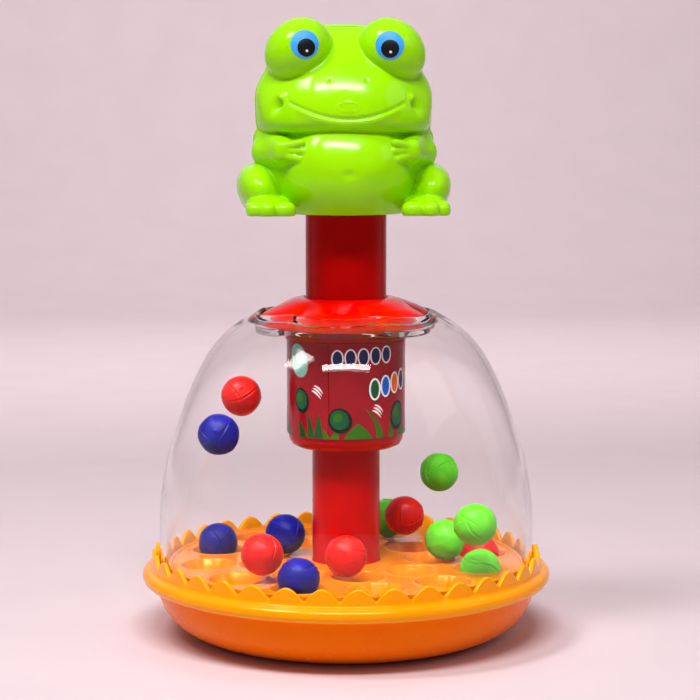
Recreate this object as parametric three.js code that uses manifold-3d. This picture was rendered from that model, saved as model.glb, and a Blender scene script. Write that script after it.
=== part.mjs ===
// Press-and-spin ball popper with a frog for its push knob.
// Millimetres, +Z up, the floor at z = 0, the frog faces -Y, the toy's axis is the Z axis.
// Pushing the frog drives a twisted rod down through a slotted nut; the nut turns, its one-way
// clutch spins the cupped deck, and the balls are thrown up inside the clear dome.
import * as THREE from "three";
import { mergeVertices } from "three/addons/utils/BufferGeometryUtils.js";
import Module from "manifold-3d";

const wasm = await Module();
wasm.setup();

// ---- driving dimensions -------------------------------------------------------------------
const GAP = 0.3; // air between pieces that touch

const BOWL_R = 79.3; // bowl, just below the rolled rim
const BOWL_FLAT_R = 54; // flat underside it stands on
const BOWL_LIP_Z = 21.7;
const BOSS_R = 8, // post in the middle of the bowl that carries the axle
  BOSS_TOP_Z = 18.7;

const BEAD_R = 85, // rolled rim, outermost
  BEAD_Z = 25.3;
const CROWN_R = 80.6, // scalloped wall above the rim
  CROWN_IN_R = 78.4,
  CROWN_TIP_Z = 35,
  CROWN_VALLEY_Z = 30.3,
  SCALLOPS = 36,
  SCALLOP_PHASE = -0.8;

const DOME_WALL = 2.4;
const DOME_OUTER = [
  // outside of the dome, radius and height
  [77.9, 22.1],
  [77.8, 35],
  [77.5, 55],
  [74.5, 72],
  [71, 84.4],
  [66.7, 97],
  [63.4, 105.4],
  [59.3, 113.7],
  [55.6, 119.6],
  [49.9, 126],
  [44, 130.4],
  [38, 133.2],
  [33, 134.2],
];

const PETALS = 6, // flower outline of the collar cap and of the well it sits in
  PETAL_PHASE = 256.8,
  PETAL_DIP = 0.085; // how far the outline draws in between two petals
const WELL_OUT_R = 37.6,
  WELL_IN_R = 35.4,
  WELL_FLOOR_Z = 125.4,
  WELL_FLOOR = 2,
  WELL_TOP_Z = 134.6,
  WELL_HOLE_R = 24.4;
const CAP_R = 34.8,
  CAP_TOP_Z = 140.2,
  CAP_HOLE_R = 17.1,
  CAP_SKIRT_R = 21.3,
  CAP_SKIRT_Z = 118.2;

const CAN_R = 23.9, // canister round the spring
  CAN_IN_R = 21.7,
  CAN_BOTTOM_Z = 78,
  CAN_FLOOR = 2.2,
  CAN_TOP_Z = 129,
  CAN_HOLE_R = 10.5,
  CAN_SHOULDER_R = 25.2, // the well's floor is trapped between this shoulder
  CAN_BEAD_R = 25; // and this snap bead above it
const LABEL_R = 24.55,
  LABEL_THICK = 0.4,
  LABEL_Z = [84, 123.1],
  LABEL_SEAM = 249.5,
  LABEL_SEAM_GAP = 0.5;

const STROKE = 30; // how far the frog pushes down
const PLUNGER_R = 16.7,
  PLUNGER_WALL = 1.8,
  PLUNGER_TOP_Z = 174.2,
  PLUNGER_FLANGE_R = 20.9,
  PLUNGER_FLANGE_Z = [115.8, 117.9];
const SPIGOT_R = 10,
  SPIGOT_TOP_Z = 184;

const LEAD = 40; // one turn of the twisted rod
const ROD_WIDE = 8,
  ROD_THICK = 1.8,
  ROD_Z = [72, 117, 169.6]; // lower end, end of the twist, upper end
const ROD_PIN_Z = 164.5;
const NUT_FLANGE_R = 13,
  NUT_R = 10,
  NUT_Z = [74.4, 80.5, 82.7], // tooth tips, top of the neck, top of the flange
  SLOT_CLEAR = 0.5;
const TEETH = 8,
  TOOTH_DEPTH = 1.4;

const SPRING_R = 17.6,
  SPRING_WIRE = 1.1,
  SPRING_TURNS = 4,
  SPRING_Z = [80.5, 115.5];

const TUBE_R = 14.1, // lower column, turns with the deck
  TUBE_IN_R = 12,
  TUBE_TOP_Z = 77.6,
  TUBE_FLANGE_R = 20,
  TUBE_FLANGE_Z = [24.9, 27.0];
const PIN_R = 3,
  PIN_Z = [4.2, 37.5],
  PIN_CLEAR = 0.3;

const DECK_R = 74,
  DECK_TOP_Z = 30,
  DECK_THICK = 2.4,
  CUP_DEPTH = 9.5,
  CUP_WALL = 1.5;
const CUP_RINGS = [
  { count: 12, ring: 58, cup: 11, phase: 7.3 },
  { count: 9, ring: 35.5, cup: 10.5, phase: 353.8 },
];

const BALL_R = 8.5;
const BALL_ON_DECK_Z = DECK_TOP_Z + BALL_R + 0.4;
const BALL_IN_CUP_Z = DECK_TOP_Z - CUP_DEPTH + BALL_R + 0.4;
const cupAt = (degrees, ring = 58) => [
  ring * Math.cos((degrees * Math.PI) / 180),
  ring * Math.sin((degrees * Math.PI) / 180),
];
const BALLS = {
  red: [
    [-43.4, 8.2, 98.1],
    [27, 23.1, 43.4],
    [-36.2, -42, 41.2],
    [-2.6, -36.9, BALL_ON_DECK_Z],
    [...cupAt(7.3), BALL_IN_CUP_Z],
  ],
  blue: [
    [-52.8, -12.2, 84.9],
    [-25.1, 8.9, BALL_ON_DECK_Z],
    [...cupAt(157.3), 32.9],
    [...cupAt(247.3), 33.6],
  ],
  green: [
    [43.2, 32.9, 60.4],
    [40.6, -9.4, 39.4],
    [48.4, -41.7, 51.9],
    [21.9, 41.5, BALL_ON_DECK_Z],
    [...cupAt(337.3), BALL_IN_CUP_Z],
  ],
};

const FROG_Z = 174.8; // underside of the feet
const FROG_SPLIT_Y = 1; // the two shells meet here
const SEAT_R = 22;
const EYE = { x: 19.3, y: -8, z: 240.8, r: 13.4 };
const IRIS = { x: 16.9, y: -20.9, z: 243.2, r: 5.8 };
const FROG_SCREWS = [232, 195]; // heights of the two screws in its back

// ---- helpers ------------------------------------------------------------------------------
const rad = THREE.MathUtils.degToRad;

// A profile of [radius, height] turned about the Z axis. Its order doesn't matter.
function lathe(profile, segments) {
  let area = 0;
  profile.forEach(([x, y], i) => {
    const [u, v] = profile[(i + 1) % profile.length];
    area += x * v - u * y;
  });
  const pts = (area > 0 ? profile : [...profile].reverse()).map(
    (p) => new THREE.Vector2(p[0], p[1]),
  );
  const closed = pts[0].x > 0 || pts.at(-1).x > 0 ? [...pts, pts[0]] : pts;
  return new THREE.LatheGeometry(closed, segments).rotateX(Math.PI / 2);
}

function solid(geometry) {
  const bare = geometry.index ? geometry.toNonIndexed() : geometry.clone();
  bare.deleteAttribute("normal");
  bare.deleteAttribute("uv");
  const merged = mergeVertices(bare, 1e-3);
  return new wasm.Manifold(
    new wasm.Mesh({
      numProp: 3,
      vertProperties: merged.attributes.position.array,
      triVerts: new Uint32Array(merged.index.array),
    }),
  );
}

function geometryOf(body) {
  const m = body.getMesh();
  const xyz = new Float32Array(m.numVert * 3);
  for (let i = 0; i < m.numVert; i++)
    xyz.set(m.vertProperties.subarray(i * m.numProp, i * m.numProp + 3), i * 3);
  const g = new THREE.BufferGeometry()
    .setAttribute("position", new THREE.BufferAttribute(xyz, 3))
    .setIndex(new THREE.BufferAttribute(new Uint32Array(m.triVerts), 1));
  const flat = g.toNonIndexed();
  flat.computeVertexNormals();
  return flat;
}

const at = (geometry, x, y, z) => geometry.translate(x, y, z);
// A plain cylinder along Z from z0 to z1.
const rod = (r, z0, z1, segments = 20) =>
  at(
    new THREE.CylinderGeometry(r, r, z1 - z0, segments).rotateX(Math.PI / 2),
    0,
    0,
    (z0 + z1) / 2,
  );
// The same along Y.
const rodY = (r, y0, y1, x, z, segments = 14) =>
  at(new THREE.CylinderGeometry(r, r, y1 - y0, segments), x, (y0 + y1) / 2, z);
const ellipsoid = ([x, y, z], [a, b, c], w = 12, h = 8) =>
  at(
    new THREE.SphereGeometry(1, w, h).rotateX(Math.PI / 2).scale(a, b, c),
    x,
    y,
    z,
  );
const union = (list) =>
  wasm.Manifold.union(list.map((g) => (g.isBufferGeometry ? solid(g) : g)));

const toy = new THREE.Group();
toy.name = "frog_ball_popper";

const finish = (color, roughness, metalness = 0) => ({
  color,
  roughness,
  metalness,
});
const YELLOW = finish(0xffb400, 0.3),
  ORANGE = finish(0xff9a00, 0.35),
  DECK = finish(0xffa000, 0.12),
  RED = finish(0xc80a0a, 0.25),
  CAP_RED = finish(0xf0140a, 0.18),
  LIME = finish(0x8fdc14, 0.2),
  STEEL = finish(0xb8bcc2, 0.35, 1),
  NYLON = finish(0xe8e4d8, 0.5);

function add(name, geometry, look, extra = {}) {
  const g = geometry.isBufferGeometry ? geometry : geometryOf(geometry);
  const mesh = new THREE.Mesh(
    g,
    new THREE.MeshStandardMaterial({ ...look, ...extra }),
  );
  mesh.name = name;
  toy.add(mesh);
  return mesh;
}

// ---- bowl and rolled, scalloped rim -------------------------------------------------------
add(
  "base_bowl",
  lathe(
    [
      [5.4, 0],
      [BOWL_FLAT_R, 0],
      [60, 0.9],
      [66, 3],
      [71, 6.1],
      [75.2, 10.7],
      [78, 16.4],
      [BOWL_R, BOWL_LIP_Z],
      [74.6, BOWL_LIP_Z],
      [74.6, 20],
      [76.4, 19.4],
      [75.4, 16],
      [73, 11.6],
      [69.4, 7.8],
      [65, 5],
      [59.4, 2.8],
      [53.5, 2],
      [BOSS_R, 2],
      [BOSS_R, BOSS_TOP_Z],
      [PIN_R + PIN_CLEAR, BOSS_TOP_Z],
      [PIN_R + PIN_CLEAR, 3.9],
      [2.1, 3.9],
      [2.1, 2.9],
      [5.4, 2.9],
    ],
    36,
  ),
  ORANGE,
);

// Each scallop is a rounded tongue; the valleys between them are sharp.
{
  const g = lathe(
    [
      [CROWN_IN_R, 22],
      [82.6, 22.1],
      [BEAD_R, BEAD_Z],
      [83.4, 28.2],
      [CROWN_R - 0.2, 29.2],
      [CROWN_R + 0.2, CROWN_TIP_Z],
      [CROWN_IN_R + 0.4, CROWN_TIP_Z],
    ],
    SCALLOPS * 4,
  );
  const p = g.attributes.position;
  for (let i = 0; i < p.count; i++) {
    if (p.getZ(i) < CROWN_TIP_Z - 0.01) continue;
    const a = Math.atan2(p.getY(i), p.getX(i));
    const lift = Math.abs(Math.cos((a * SCALLOPS) / 2)) ** 0.7;
    p.setZ(i, CROWN_VALLEY_Z + (CROWN_TIP_Z - CROWN_VALLEY_Z) * lift);
  }
  add("crown_ring", g.rotateZ(rad(SCALLOP_PHASE)), YELLOW);
}

// ---- clear dome with its flower-shaped well -----------------------------------------------
// Draws a turned shape in to the flower outline; what lies inside `still` keeps its circle.
function petalled(geometry, still, full) {
  const p = geometry.attributes.position;
  for (let i = 0; i < p.count; i++) {
    const x = p.getX(i),
      y = p.getY(i),
      r = Math.hypot(x, y);
    const w = THREE.MathUtils.smoothstep(r, still, full);
    const turn = (Math.atan2(y, x) - rad(PETAL_PHASE)) * (PETALS / 2);
    const k = 1 - w * PETAL_DIP * (1 - Math.abs(Math.cos(turn)) ** 0.8);
    p.setXY(i, x * k, y * k);
  }
  return geometry;
}
const FLOWER_SEGMENTS = PETALS * 8;
// A lathe that starts on a valley, so that every valley has a row of vertices.
const flower = (profile, still, full) =>
  petalled(
    lathe(profile, FLOWER_SEGMENTS).rotateZ(rad(PETAL_PHASE + 30 + 90)),
    still,
    full,
  );

{
  const inner = [];
  for (let i = 0; i < DOME_OUTER.length; i += 2) {
    const a = DOME_OUTER[Math.max(i - 1, 0)],
      b = DOME_OUTER[Math.min(i + 1, DOME_OUTER.length - 1)];
    const n = Math.hypot(b[0] - a[0], b[1] - a[1]);
    inner.push([
      DOME_OUTER[i][0] - ((b[1] - a[1]) / n) * DOME_WALL,
      i === 0
        ? DOME_OUTER[0][1]
        : DOME_OUTER[i][1] + ((b[0] - a[0]) / n) * DOME_WALL,
    ]);
  }
  const shell = solid(lathe([...DOME_OUTER, ...inner.reverse()], 40));
  const well = solid(
    flower(
      [
        [WELL_HOLE_R, WELL_FLOOR_Z],
        [WELL_OUT_R, WELL_FLOOR_Z],
        [WELL_OUT_R, WELL_TOP_Z],
        [WELL_IN_R, WELL_TOP_Z],
        [WELL_IN_R, WELL_FLOOR_Z + WELL_FLOOR],
        [WELL_HOLE_R, WELL_FLOOR_Z + WELL_FLOOR],
      ],
      26,
      34,
    ),
  );
  const mouth = solid(
    flower(
      [
        [0, WELL_FLOOR_Z + WELL_FLOOR],
        [WELL_IN_R, WELL_FLOOR_Z + WELL_FLOOR],
        [WELL_IN_R, 150],
        [0, 150],
      ],
      26,
      34,
    ),
  );
  add("dome", shell.subtract(mouth).add(well), finish(0xffffff, 0.05), {
    transparent: true,
    opacity: 0.25,
  });
}

// ---- collar cap ---------------------------------------------------------------------------
add(
  "collar_cap",
  flower(
    [
      [CAP_HOLE_R, CAP_SKIRT_Z],
      [CAP_SKIRT_R, CAP_SKIRT_Z],
      [CAP_SKIRT_R, 136.8],
      [28, 135.2],
      [32.6, 131.4],
      [32.6, WELL_FLOOR_Z + WELL_FLOOR + GAP],
      [CAP_R, WELL_FLOOR_Z + WELL_FLOOR + GAP],
      [CAP_R, 131.8],
      [33.6, 134],
      [29, 136.8],
      [23, 139.1],
      [18.2, CAP_TOP_Z],
      [CAP_HOLE_R, 139.6],
    ],
    23,
    33,
  ),
  CAP_RED,
);

// ---- canister and label -------------------------------------------------------------------
add(
  "canister",
  lathe(
    [
      [CAN_HOLE_R, CAN_BOTTOM_Z],
      [19.4, CAN_BOTTOM_Z],
      [22.3, 79.1],
      [23.6, 81.3],
      [CAN_R, 83.6],
      [CAN_R, 123.3],
      [CAN_SHOULDER_R, 123.6],
      [CAN_SHOULDER_R, WELL_FLOOR_Z - GAP],
      [CAN_R, WELL_FLOOR_Z - GAP],
      [CAN_R, WELL_FLOOR_Z + WELL_FLOOR + GAP],
      [CAN_BEAD_R, WELL_FLOOR_Z + WELL_FLOOR + 0.6],
      [CAN_R, CAN_TOP_Z],
      [CAN_IN_R, CAN_TOP_Z],
      [CAN_IN_R, CAN_BOTTOM_Z + CAN_FLOOR],
      [CAN_HOLE_R, CAN_BOTTOM_Z + CAN_FLOOR],
    ],
    32,
  ),
  RED,
);

{
  const half = LABEL_SEAM_GAP / 2 / LABEL_R; // radians
  const sheet = new THREE.Shape();
  sheet.absarc(0, 0, LABEL_R, half, 2 * Math.PI - half, false);
  sheet.absarc(0, 0, LABEL_R - LABEL_THICK, 2 * Math.PI - half, half, true);
  add(
    "label_sleeve",
    new THREE.ExtrudeGeometry(sheet, {
      depth: LABEL_Z[1] - LABEL_Z[0],
      bevelEnabled: false,
      curveSegments: 28,
    })
      .rotateZ(rad(LABEL_SEAM))
      .translate(0, 0, LABEL_Z[0]),
    finish(0xb40f14, 0.3),
  );
}

// ---- plunger, return spring, twisted rod --------------------------------------------------
// The rod's flat section, turned as it climbs; `grow` opens it out into the nut's slot.
function twistedBar(z0, z1, grow, stepDegrees = 12) {
  const steps = Math.max(
    2,
    Math.ceil(((z1 - z0) / LEAD) * (360 / stepDegrees)),
  );
  const g = new THREE.BoxGeometry(
    ROD_WIDE + 2 * grow,
    ROD_THICK + 2 * grow,
    z1 - z0,
    1,
    1,
    steps,
  ).translate(0, 0, (z0 + z1) / 2);
  const p = g.attributes.position;
  for (let i = 0; i < p.count; i++) {
    const turn = (2 * Math.PI * (Math.min(p.getZ(i), ROD_Z[1]) - ROD_Z[0])) / LEAD;
    const x = p.getX(i),
      y = p.getY(i);
    p.setXY(
      i,
      x * Math.cos(turn) - y * Math.sin(turn),
      x * Math.sin(turn) + y * Math.cos(turn),
    );
  }
  return g;
}
const rodTop = twistedBar(ROD_Z[1], ROD_Z[2] + 0.4, GAP, 360);
const topTurn = (2 * Math.PI * (ROD_Z[1] - ROD_Z[0])) / LEAD; // how the flat upper end lies
const acrossRod = (r, half) =>
  solid(
    rodY(r, -half, half, 0, ROD_PIN_Z, 12).rotateZ(topTurn),
  );
{
  const tube = solid(
    lathe(
      [
        [PLUNGER_R - PLUNGER_WALL, PLUNGER_FLANGE_Z[0]],
        [PLUNGER_FLANGE_R, PLUNGER_FLANGE_Z[0]],
        [PLUNGER_FLANGE_R, PLUNGER_FLANGE_Z[1]],
        [PLUNGER_R, PLUNGER_FLANGE_Z[1]],
        [PLUNGER_R, PLUNGER_TOP_Z],
        [SPIGOT_R, PLUNGER_TOP_Z],
        [SPIGOT_R, SPIGOT_TOP_Z],
        [0, SPIGOT_TOP_Z],
        [0, 171.8],
        [0, 160.5],
        [6.4, 160.5],
        [6.4, 171.8],
        [PLUNGER_R - PLUNGER_WALL, 171.8],
      ],
      28,
    ),
  );
  add(
    "plunger_tube",
    tube
      .subtract(solid(rodTop))
      .subtract(acrossRod(1.3, 12)),
    RED,
  );
  add(
    "drive_rod",
    solid(twistedBar(ROD_Z[0], ROD_Z[2], 0)).subtract(acrossRod(1.3, 6)),
    STEEL,
  );
  add("rod_pin", acrossRod(1, 6.3), STEEL);
}

class Coil extends THREE.Curve {
  getPoint(t, target = new THREE.Vector3()) {
    const a = t * SPRING_TURNS * 2 * Math.PI;
    const low = SPRING_Z[0] + SPRING_WIRE / 2,
      high = SPRING_Z[1] - SPRING_WIRE / 2;
    const climb = THREE.MathUtils.smoothstep(t, 0, 1) * 0.35 + t * 0.65;
    return target.set(
      SPRING_R * Math.cos(a),
      SPRING_R * Math.sin(a),
      low + (high - low) * climb,
    );
  }
}
{
  const wire = new THREE.Shape();
  for (let i = 0; i < 5; i++) {
    const a = (i * 2 * Math.PI) / 5;
    wire[i ? "lineTo" : "moveTo"](
      (SPRING_WIRE / 2) * Math.cos(a),
      (SPRING_WIRE / 2) * Math.sin(a),
    );
  }
  add(
    "return_spring",
    new THREE.ExtrudeGeometry(wire, {
      steps: SPRING_TURNS * 16,
      bevelEnabled: false,
      extrudePath: new Coil(),
    }),
    STEEL,
  );
}

// ---- drive nut and its one-way clutch -----------------------------------------------------
// A ring of saw teeth rising from z = 0; `up` is 1 for teeth on top, -1 for teeth below.
function sawTeeth(rIn, rOut, z, up) {
  const steps = TEETH * 4;
  const g = lathe(
    [
      [rIn, z - up * 1.2],
      [rOut, z - up * 1.2],
      [rOut, z],
      [rIn, z],
    ],
    steps,
  );
  const p = g.attributes.position;
  for (let i = 0; i < p.count; i++) {
    if (Math.abs(p.getZ(i) - z) > 0.01) continue;
    const a = Math.atan2(p.getY(i), p.getX(i)) / (2 * Math.PI) + 1;
    const share = ((a * TEETH + 1e-4) % 1) * (4 / 3);
    p.setZ(i, z + up * TOOTH_DEPTH * Math.min(share, 1));
  }
  return g;
}
{
  const body = union([
    lathe(
      [
        [0, NUT_Z[0] + TOOTH_DEPTH],
        [NUT_R, NUT_Z[0] + TOOTH_DEPTH],
        [NUT_R, NUT_Z[1]],
        [NUT_FLANGE_R, NUT_Z[1]],
        [NUT_FLANGE_R, NUT_Z[2]],
        [0, NUT_Z[2]],
      ],
      32,
    ),
    sawTeeth(6, 9.6, NUT_Z[0] + TOOTH_DEPTH + 0.02, -1),
  ]);
  add(
    "drive_nut",
    body.subtract(solid(twistedBar(NUT_Z[0] - 2, NUT_Z[2] + 2, SLOT_CLEAR))),
    NYLON,
  );
}

// ---- rotor: lower column and cupped deck --------------------------------------------------
const CLUTCH_Z = NUT_Z[0] - 0.4 - TOOTH_DEPTH; // foot of the column's own teeth
add(
  "lower_column",
  union([
    lathe(
      [
        [PIN_R + PIN_CLEAR, 20],
        [8, 20],
        [8, TUBE_FLANGE_Z[0]],
        [TUBE_FLANGE_R, TUBE_FLANGE_Z[0]],
        [TUBE_FLANGE_R, TUBE_FLANGE_Z[1]],
        [TUBE_R, TUBE_FLANGE_Z[1]],
        [TUBE_R, TUBE_TOP_Z],
        [NUT_R + 0.6, TUBE_TOP_Z],
        [NUT_R + 0.6, CLUTCH_Z],
        [5, CLUTCH_Z],
        [5, CLUTCH_Z - 2.2],
        [TUBE_IN_R, CLUTCH_Z - 2.2],
        [TUBE_IN_R, 33],
        [PIN_R + PIN_CLEAR, 33],
      ],
      28,
    ),
    sawTeeth(6, 9.6, CLUTCH_Z, 1),
  ]),
  RED,
);

{
  let deck = solid(
    lathe(
      [
        [TUBE_R + GAP, DECK_TOP_Z - DECK_THICK],
        [71.8, DECK_TOP_Z - DECK_THICK],
        [71.8, 25.8],
        [DECK_R, 25.8],
        [DECK_R, DECK_TOP_Z + 0.9],
        [73, DECK_TOP_Z + 0.9],
        [72.4, DECK_TOP_Z],
        [TUBE_R + GAP, DECK_TOP_Z],
      ],
      48,
    ),
  );
  const bulges = [],
    dishes = [];
  for (const { count, ring, cup, phase } of CUP_RINGS)
    for (let i = 0; i < count; i++) {
      const [x, y] = cupAt(phase + (360 / count) * i, ring);
      const t = DECK_TOP_Z,
        d = CUP_DEPTH;
      const shape = [
        [5.4, t - d + 1],
        [cup - 1.9, t - d + 3.7],
        [cup - 0.4, t - 2.5],
      ];
      bulges.push(
        lathe(
          [
            [0, t - d - CUP_WALL],
            ...shape.map(([r, z]) => [r + CUP_WALL * 0.8, z - CUP_WALL * 0.8]),
            [cup - 0.4 + CUP_WALL * 0.8, t - 1],
            [0, t - 1],
          ],
          10,
        ).translate(x, y, 0),
      );
      dishes.push(
        lathe(
          [[0, t - d], ...shape, [cup, t], [cup, t + 2], [0, t + 2]],
          10,
        ).translate(x, y, 0),
      );
    }
  add("rotor_deck", deck.add(union(bulges)).subtract(union(dishes)), DECK);
}

// ---- axle ---------------------------------------------------------------------------------
add(
  "axle_pin",
  lathe(
    [
      [1.8, PIN_Z[0]],
      [PIN_R, PIN_Z[0]],
      [PIN_R, PIN_Z[1] - 0.8],
      [PIN_R - 0.8, PIN_Z[1]],
      [0, PIN_Z[1]],
      [0, 12],
      [1.8, 12],
      [1.8, PIN_Z[0]],
    ],
    20,
  ),
  STEEL,
);
add(
  "thrust_washer",
  lathe(
    [
      [PIN_R + PIN_CLEAR, BOSS_TOP_Z + GAP],
      [7.6, BOSS_TOP_Z + GAP],
      [7.6, 19.7],
      [PIN_R + PIN_CLEAR, 19.7],
    ],
    24,
  ),
  NYLON,
);
add(
  "axle_screw",
  lathe(
    [
      [0, 0.8],
      [4.6, 0.8],
      [4.8, 1.4],
      [4.8, 2.6],
      [1.5, 2.6],
      [1.5, 11.4],
      [0, 11.4],
    ],
    20,
  ),
  STEEL,
);

// ---- balls --------------------------------------------------------------------------------
const BALL_LOOK = {
  red: finish(0xdc3219, 0.4),
  blue: finish(0x12128a, 0.4),
  green: finish(0x5ae63c, 0.4),
};
for (const [colour, places] of Object.entries(BALLS))
  places.forEach(([x, y, z], i) =>
    add(
      `ball_${colour}_${i + 1}`,
      at(new THREE.IcosahedronGeometry(BALL_R, 1), x, y, z),
      BALL_LOOK[colour],
    ),
  );

// ---- frog ---------------------------------------------------------------------------------
// Hollow, in a front and a back shell held by two screws, plugged below by its seat.
{
  const both = (f) => [f(-1), f(1)].flat();
  const skin = union([
    ellipsoid([0, 0, 221.5], [36, 31, 16.8], 18, 12), // cheeks and jaw
    ellipsoid([0, 2, 234], [29, 24, 17.4], 14, 10), // upper head
    ellipsoid([0, -2, 189], [29.5, 31, 24], 16, 10), // belly
    ellipsoid([0, 3, 202], [34, 27, 20], 14, 8), // chest and shoulders
    ...both((s) => [
      ellipsoid([s * EYE.x, EYE.y, EYE.z], [EYE.r, EYE.r, EYE.r], 12, 8),
      ellipsoid([s * 33, 1, 188.5], [11.2, 22, 13.6], 10, 7), // thigh
      ellipsoid([s * 30.5, -6, 200], [8, 13, 13], 8, 6), // upper arm
      ellipsoid([s * 26.5, -20, 199.5], [6.5, 11, 4.6], 8, 5), // forearm
      ...[-1, 0, 1].map((f) =>
        ellipsoid([s * 21, -27.5, 199.8 + 3.1 * f], [5, 4, 1.9], 6, 4),
      ),
      ellipsoid([s * 34, -18, 179.4], [8.6, 14, 4.4], 8, 5), // foot
      ...[-1, 0, 1].map((f) =>
        ellipsoid([s * (33 + 5.4 * f), -29, 177.6], [2.9, 6, 2.7], 6, 4),
      ),
    ]),
  ]);
  const floor = solid(new THREE.BoxGeometry(200, 200, 60).translate(0, 0, FROG_Z - 30));
  const outer = skin.subtract(floor);
  const cavity = union([
    ellipsoid([0, 0, 221.5], [32, 27, 14], 12, 8),
    ellipsoid([0, 2, 233], [25, 20.4, 14.6], 12, 8),
    ellipsoid([0, -1, 190], [25, 26, 20], 12, 8),
    ellipsoid([0, 3, 203], [28, 22, 16], 12, 8),
    rod(SEAT_R + 0.4, FROG_Z - 2, FROG_Z + 12, 24),
  ]);
  const front = solid(
    new THREE.BoxGeometry(200, 200, 200).translate(0, FROG_SPLIT_Y - 0.15 - 100, 220),
  );
  const back = solid(
    new THREE.BoxGeometry(200, 200, 200).translate(0, FROG_SPLIT_Y + 0.15 + 100, 220),
  );
  const shell = outer.subtract(cavity);
  const posts = (r, y0, y1) => FROG_SCREWS.map((z) => rodY(r, y0, y1, 0, z, 8));
  const seatRoom = solid(rod(SEAT_R + 0.4, FROG_Z - 2, FROG_Z + 12, 24));
  add(
    "frog_front",
    shell
      .intersect(front)
      .add(union(posts(4, -45, 9.6)).intersect(outer))
      .subtract(union(posts(1.7, -4, 12)))
      .subtract(seatRoom),
    LIME,
  );
  add(
    "frog_back",
    shell
      .intersect(back)
      .add(union(posts(4.8, 10, 60)).intersect(outer))
      .subtract(union(posts(1.7, 5, 24)))
      .subtract(union(posts(3.5, 20, 60)))
      .subtract(seatRoom),
    LIME,
  );
  add(
    "frog_seat",
    lathe(
      [
        [SPIGOT_R + GAP, FROG_Z - 0.2],
        [SEAT_R, FROG_Z - 0.2],
        [SEAT_R, FROG_Z + 2.2],
        [13, FROG_Z + 2.2],
        [13, SPIGOT_TOP_Z + 0.4],
        [SPIGOT_R + GAP, SPIGOT_TOP_Z + 0.4],
      ],
      28,
    ),
    LIME,
  );
  FROG_SCREWS.forEach((z, i) =>
    add(
      "frog_screw_" + (i + 1),
      lathe(
        [
          [0, -3],
          [1.4, -2.2],
          [1.4, 20.3],
          [3.1, 20.3],
          [3.1, 21.6],
          [1.8, 22.6],
          [0, 22.6],
        ],
        8,
      )
        .rotateX(-Math.PI / 2)
        .translate(0, 0, z),
      STEEL,
    ),
  );

  // Printed eye discs, domed to lie on the bulges.
  for (const [side, s] of [
    ["left", -1],
    ["right", 1],
  ]) {
    const look = new THREE.Vector3(
      IRIS.x - EYE.x,
      IRIS.y - EYE.y,
      IRIS.z - EYE.z,
    ).normalize();
    look.x *= s;
    const aim = new THREE.Quaternion().setFromUnitVectors(
      new THREE.Vector3(0, 0, 1),
      look,
    );
    const domed = (rIn, rOut, low, high) => {
      const dip = (r, lift) => [r, Math.sqrt((EYE.r + lift) ** 2 - r * r)];
      const rs = rIn ? [rIn, (rIn + rOut) / 2, rOut] : [0, rOut / 2, rOut];
      return lathe(
        [
          ...rs.map((r) => dip(r, low)),
          ...rs.reverse().map((r) => dip(r, high)),
        ],
        14,
      )
        .applyQuaternion(aim)
        .translate(s * EYE.x, EYE.y, EYE.z);
    };
    add("iris_" + side, domed(3.9, IRIS.r, 0.2, 0.7), finish(0x3fa0f0, 0.3));
    add("pupil_" + side, domed(0, 3.6, 0.2, 0.8), finish(0x101010, 0.25));
  }
}

export default toy;
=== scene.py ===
"""Looks of the press-and-spin frog ball popper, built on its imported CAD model. Lengths in the code are
millimetres in the CAD's frame and are turned into metres where a mesh is made."""
import math

import bmesh
import bpy
import numpy as np
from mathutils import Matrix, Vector


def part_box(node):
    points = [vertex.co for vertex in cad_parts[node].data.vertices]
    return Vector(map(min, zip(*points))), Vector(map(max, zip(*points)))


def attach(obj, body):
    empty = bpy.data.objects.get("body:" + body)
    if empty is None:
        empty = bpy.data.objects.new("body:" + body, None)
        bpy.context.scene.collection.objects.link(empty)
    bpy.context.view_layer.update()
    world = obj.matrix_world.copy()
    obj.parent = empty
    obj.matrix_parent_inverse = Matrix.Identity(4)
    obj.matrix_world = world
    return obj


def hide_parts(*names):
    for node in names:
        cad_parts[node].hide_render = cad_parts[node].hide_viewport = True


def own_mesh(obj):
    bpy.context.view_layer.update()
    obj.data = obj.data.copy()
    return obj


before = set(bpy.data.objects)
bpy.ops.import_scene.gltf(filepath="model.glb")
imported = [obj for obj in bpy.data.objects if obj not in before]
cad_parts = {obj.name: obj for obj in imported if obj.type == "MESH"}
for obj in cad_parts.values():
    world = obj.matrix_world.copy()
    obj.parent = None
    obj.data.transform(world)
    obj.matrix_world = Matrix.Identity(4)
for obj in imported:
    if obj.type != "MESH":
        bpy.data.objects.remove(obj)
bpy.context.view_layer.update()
MM = 0.001

# ---- camera -----------------------------------------------------------------------------
VIEW_TURN = math.radians(-4.2)  # the frog looks a little to the camera's left
camera = bpy.data.objects.new("camera", bpy.data.cameras.new("camera"))
bpy.context.scene.collection.objects.link(camera)
camera.data.lens, camera.data.sensor_width = 105.9, 36.0
camera.data.clip_start, camera.data.clip_end = 0.05, 30
camera.location = (-0.0605, -0.8465, 0.2128)
camera.rotation_euler = (math.radians(90 - 6.38), 0, VIEW_TURN)
bpy.context.scene.camera = camera
bpy.context.scene.view_settings.view_transform = "Standard"


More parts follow.
